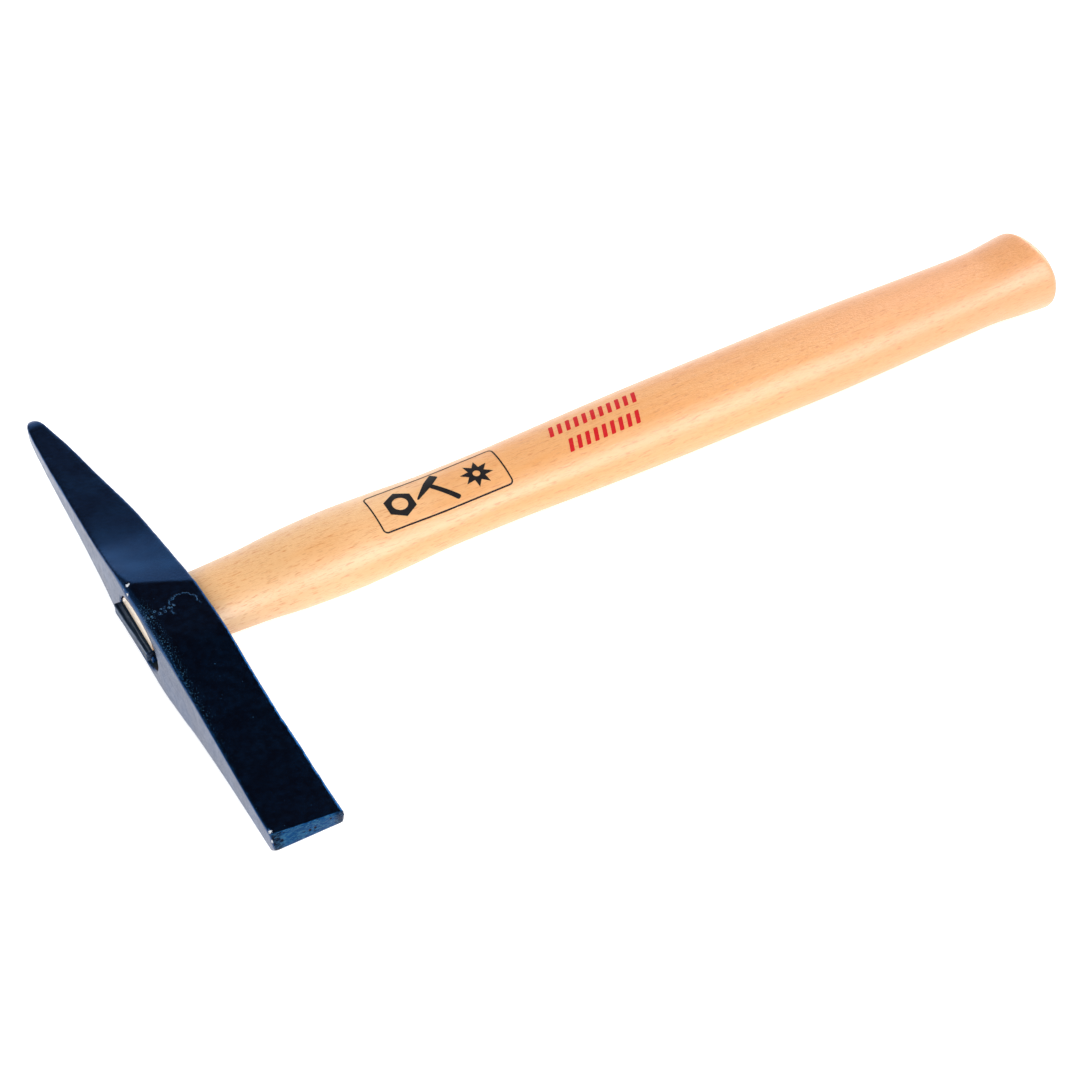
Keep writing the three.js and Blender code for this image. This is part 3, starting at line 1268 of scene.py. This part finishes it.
@dataclass
class Marks:
    """Plain printed marks on the upper side of the grip: a framed tool sign and bars."""

    handle: Handle
    proud: float = 0.04
    sunk: float = 0.06
    line: float = 0.45
    bar_pitch: float = 2.7

    def strip(self, left: Points, right: Points, across: int, closed: bool = False) -> Shape:
        """Grid between two paths of equal length.

        Args:
            left: Rows of x, y along one border.
            right: Rows of x, y along the other border.
            across: Number of faces from border to border.
            closed: Whether the paths return to their start.

        Returns:
            Rows of x, y and the faces between them.
        """
        count = len(left)
        shares = np.linspace(0, 1, across + 1)
        grid = left[:, None, :] * (1 - shares[None, :, None])
        grid = grid + right[:, None, :] * shares[None, :, None]
        faces = []
        for i in range(count if closed else count - 1):
            for j in range(across):
                a, b = i * (across + 1) + j, (i + 1) % count * (across + 1) + j
                faces.append((a, a + 1, b + 1, b))
        return grid.reshape(-1, 2), faces

    def bar(self, x0: float, x1: float, y0: float, y1: float, radius: float,
            slant: float = 0.0, taper: float = 0.0) -> Shape:
        """Filled bar.

        Args:
            x0: Left end.
            x1: Right end.
            y0: Lower border.
            y1: Upper border.
            radius: Radius of the corners.
            slant: How far x shifts per millimetre of y.
            taper: How much narrower the left end is than the right, as a share.

        Returns:
            Rows of x, y and the faces between them.
        """
        ends = np.concatenate([
            x0 + radius * (1 - np.cos(np.linspace(0, math.pi / 2, 6))),
            np.linspace(x0 + radius, x1 - radius, max(3, int((x1 - x0) / 0.8)))[1:-1],
            x1 - radius * (1 - np.cos(np.linspace(math.pi / 2, 0, 6))),
        ])
        near = np.minimum(np.minimum(ends - x0, x1 - ends), radius)
        inset = radius - np.sqrt(np.maximum(0, radius**2 - (radius - near) ** 2))
        inset = inset + taper * (y1 - y0) / 2 * (x1 - ends) / (x1 - x0)
        inset = np.minimum(inset, (y1 - y0) / 2 - 0.02)
        left = np.stack([ends, y0 + inset], axis=1)
        right = np.stack([ends, y1 - inset], axis=1)
        flat, faces = self.strip(left, right, max(3, int((y1 - y0) / 0.5)))
        flat[:, 0] += slant * (flat[:, 1] - (y0 + y1) / 2)
        return flat, faces

    def outline(self, corners: Points) -> Points:
        """Closed path through corners with a point every half millimetre or so.

        Args:
            corners: Rows of x, y.

        Returns:
            Rows of x, y.
        """
        path = []
        for here, there in zip(corners, np.roll(corners, -1, axis=0)):
            parts = max(1, int(np.linalg.norm(there - here) / 0.6))
            path.append(here + (there - here) * np.linspace(0, 1, parts, endpoint=False)[:, None])
        return np.vstack(path)

    def ring(self, x0: float, x1: float, y0: float, y1: float, radius: float) -> Shape:
        """Thin frame line with rounded corners.

        Args:
            x0: Left border.
            x1: Right border.
            y0: Lower border.
            y1: Upper border.
            radius: Radius of the corners.

        Returns:
            Rows of x, y and the faces between them.
        """
        quarters = [(x1 - radius, y1 - radius), (x0 + radius, y1 - radius),
                    (x0 + radius, y0 + radius), (x1 - radius, y0 + radius)]
        inside, outside = [], []
        for k, middle in enumerate(quarters):
            turns = (k + np.linspace(0, 1, 8)) * math.pi / 2
            ray = np.stack([np.cos(turns), np.sin(turns)], axis=1)
            outside.append(np.array(middle) + ray * radius)
            inside.append(np.array(middle) + ray * (radius - self.line))
        outer = np.vstack(outside)
        inner = np.vstack(inside)
        dense: tuple[list, list] = [], []
        for k in range(len(outer)):
            following = (k + 1) % len(outer)
            parts = max(1, int(np.linalg.norm(outer[following] - outer[k]) / 0.8))
            share = np.linspace(0, 1, parts, endpoint=False)[:, None]
            dense[0].append(inner[k] * (1 - share) + inner[following] * share)
            dense[1].append(outer[k] * (1 - share) + outer[following] * share)
        return self.strip(np.vstack(dense[0]), np.vstack(dense[1]), 1, closed=True)

    def star(self, middle: Row, radii: Sequence[float], hole: float) -> Shape:
        """Shape with corners at the given radii in turn and a round hole.

        Args:
            middle: Its middle as x, y.
            radii: Distance of each corner from the middle.
            hole: Radius of the hole.

        Returns:
            Rows of x, y and the faces between them.
        """
        turns = np.arange(len(radii)) / len(radii) * math.tau + math.pi / 6
        rays = np.stack([np.cos(turns), np.sin(turns)], axis=1)
        outer = self.outline(rays * np.array(radii)[:, None])
        inner = outer / np.linalg.norm(outer, axis=1)[:, None] * hole
        return self.strip(np.array(middle) + inner, np.array(middle) + outer, 5, closed=True)

    def turned(self, shape: Shape, middle: Row, degrees: float) -> Shape:
        """Shape turned about a middle.

        Args:
            shape: Rows of x, y and faces.
            middle: The middle as x, y.
            degrees: Angle of the turn, from x towards y.

        Returns:
            The turned rows and the same faces.
        """
        angle, about = math.radians(degrees), np.array(middle)
        turn = np.array([
            [math.cos(angle), math.sin(angle)], [-math.sin(angle), math.cos(angle)]])
        return (shape[0] - about) @ turn + about, shape[1]

    def lay(self, name: str, shapes: list[Shape], look: bpy.types.Material) -> bpy.types.Object:
        """Lay flat shapes on the grip as one thin closed film.

        Args:
            name: Name of the piece.
            shapes: Rows of x, y and faces of each shape.
            look: Material of the ink.

        Returns:
            The finished film.
        """
        points, faces, base = [], [], 0
        for flat, quads in shapes:
            height = self.handle.top(flat[:, 0], flat[:, 1])
            upper = np.column_stack([flat, height + self.proud])
            lower = np.column_stack([flat, height - self.sunk])
            count = len(flat)
            points += [upper, lower]
            edges: dict[tuple[int, int], int] = {}
            for quad in quads:
                faces.append(tuple(base + i for i in quad))
                faces.append(tuple(base + count + i for i in reversed(quad)))
                for a, b in zip(quad, quad[1:] + quad[:1]):
                    edges[(a, b)] = edges.get((a, b), 0) + 1
            for a, b in edges:
                if (b, a) not in edges:
                    faces.append((base + b, base + a, base + count + a, base + count + b))
            base += 2 * count
        made = new_object(name, np.vstack(points), faces)
        shade(made, 40.0)
        install(made, look)
        return made

    def build(self, black: bpy.types.Material, red: bpy.types.Material) -> list[bpy.types.Object]:
        """Make both colours of the marks.

        Args:
            black: Ink of the frame and the tool sign.
            red: Ink of the two rows of bars.

        Returns:
            The two films.
        """
        frame_line = self.ring(62.5, 103.5, -7.4, 7.2, 1.4)
        nut = self.star((71.0, 0.0), [4.7] * 6, 2.3)
        spark = self.star((95.2, 0.0), [4.8, 2.5] * 8, 1.1)
        hammer = [
            self.bar(77.0, 83.4, 2.4, 5.0, 0.3, taper=0.8),
            self.bar(83.2, 87.6, 2.4, 5.0, 0.4),
            self.bar(82.5, 84.1, -6.6, 2.6, 0.5),
        ]
        sign = [frame_line, nut, spark]
        sign += [self.turned(part, (83.3, 0.0), 38.0) for part in hammer]
        rows = []
        for first, last, low, high in ((120.6, 148.0, 1.5, 5.7), (123.3, 146.0, -5.6, -1.4)):
            for x in np.arange(first, last, self.bar_pitch):
                rows.append(self.bar(x, x + self.bar_pitch / 2, low, high, 0.25, 0.35))
        return [self.lay("black_mark", sign, black), self.lay("red_mark", rows, red)]


# ----------------------------------------------------------------------- studio


@dataclass
class Lamp:
    """Square soft light that points at the hammer."""

    name: str
    place: Row
    size: float
    power: float
    lights_matt: bool = True

    def build(self, target: Vector) -> None:
        """Hang the lamp and aim it; one that does not light matt surfaces only adds gloss.

        Args:
            target: Place it points at.
        """
        light = bpy.data.lights.new(self.name, "AREA")
        light.shape = "SQUARE"
        light.size = self.size
        light.energy = self.power
        made = bpy.data.objects.new(self.name, light)
        made.visible_diffuse = self.lights_matt
        made.location = self.place
        aim = target - Vector(self.place)
        made.rotation_euler = aim.to_track_quat("-Z", "Y").to_euler()
        bpy.context.scene.collection.objects.link(made)


@dataclass
class Studio:
    """Pale floor, soft lamps, bright low walls under a dark ceiling, and the camera."""

    floor_half: float = 9.0
    lens: float = 106.67
    sensor: float = 36.0
    camera_place: Row = (-0.1806, -0.5382, 0.6785)
    camera_turn: Row = (40.87, 0.0, -28.83)
    wall: Row = tone(0.97, 0.985, 1.0)
    ceiling: Row = tone(0.024, 0.018, 0.018)
    wall_strength: float = 1.0
    dark_above: Row = (0.36, 0.66, 0.0, 1.0)
    dark_left: Row = (0.15, -0.30, 0.0, 0.8)
    lamps: tuple[Lamp, ...] = (
        Lamp("left_softbox", (-1.5, -0.5, 1.7), 1.7, 32.0),
        Lamp("front_softbox", (0.67, -1.39, 1.43), 1.15, 18.5),
        Lamp("front_glow", (0.67, -1.39, 1.43), 1.15, 24.0, False),
        Lamp("right_softbox", (1.9, 0.75, 1.2), 1.6, 38.0),
    )

    def floor(self) -> bpy.types.Object:
        """Large floor at the height the hammer rests on.

        Returns:
            The floor.
        """
        h, z = self.floor_half, CAD_BOX[0].z
        corners = np.array([(-h, -h, z), (h, -h, z), (h, h, z), (-h, h, z)])
        made = new_object("pale_floor", corners, [(0, 1, 2, 3)])
        made.data.materials.append(PaleFloor().build())
        return made

    def room(self) -> None:
        """Light walls low round the floor, darker towards the ceiling and on the left."""
        world = bpy.data.worlds.new("studio_room")
        bpy.context.scene.world = world
        world.use_nodes = True
        tree = world.node_tree
        tree.nodes.clear()
        where = tree.nodes.new("ShaderNodeTexCoord")
        split = tree.nodes.new("ShaderNodeSeparateXYZ")
        dark = tree.nodes.new("ShaderNodeMath")
        dark.operation = Sum.MOST.value
        for k, (axis, limits) in enumerate((("Z", self.dark_above), ("X", self.dark_left))):
            ramp = tree.nodes.new("ShaderNodeMapRange")
            ramp.interpolation_type = "SMOOTHSTEP"
            for socket, number in zip(list(ramp.inputs)[1:5], limits):
                socket.default_value = number
            tree.links.new(split.outputs[axis], ramp.inputs[0])
            tree.links.new(ramp.outputs[0], dark.inputs[k])
        mix = tree.nodes.new("ShaderNodeMix")
        mix.data_type = "RGBA"
        mix.inputs[6].default_value = self.wall
        mix.inputs[7].default_value = self.ceiling
        back = tree.nodes.new("ShaderNodeBackground")
        back.inputs[1].default_value = self.wall_strength
        out = tree.nodes.new("ShaderNodeOutputWorld")
        tree.links.new(where.outputs["Generated"], split.inputs[0])
        tree.links.new(dark.outputs[0], mix.inputs[0])
        tree.links.new(mix.outputs[2], back.inputs[0])
        tree.links.new(back.outputs[0], out.inputs[0])

    def camera(self) -> None:
        """Camera that looks down on the hammer from the front and the left."""
        data = bpy.data.cameras.new("camera")
        data.lens = self.lens
        data.sensor_width = self.sensor
        made = bpy.data.objects.new("camera", data)
        made.location = tuple(eye_middle() + np.array(self.camera_place))
        made.rotation_euler = tuple(math.radians(a) for a in self.camera_turn)
        bpy.context.scene.collection.objects.link(made)
        bpy.context.scene.camera = made

    def build(self) -> None:
        """Set up everything round the hammer."""
        self.floor()
        self.room()
        middle = (CAD_BOX[0] + CAD_BOX[1]) / 2
        for lamp in self.lamps:
            lamp.build(middle)
        self.camera()
        bpy.context.scene.view_settings.view_transform = "Standard"


def main() -> None:
    """Build the hammer and its studio, and report each piece."""
    logging.basicConfig(level=logging.INFO)
    wood = VarnishedBeech().build()
    enamel = NavyEnamel()
    head = Head()
    handle = Handle(head)
    wedge = Wedge()
    kerf = wedge.plate("kerf_tool", GAP)
    navy = enamel.build()
    made = [
        head.build(navy, enamel.nicks),
        handle.build(kerf, wood),
        wedge.build(BluedSteel().build()),
        PaintRun().build(navy),
    ]
    black = PrintInk("black_ink", tone(0.004, 0.003, 0.005), tone(0.03, 0.02, 0.014)).build()
    red = PrintInk("red_ink", tone(0.60, 0.004, 0.010), tone(0.68, 0.05, 0.03)).build()
    made += Marks(handle).build(black, red)
    Studio().build()
    for piece in made:
        LOG.info("%s: %d faces", piece.name, len(piece.data.polygons))


if __name__ == "__main__":
    main()
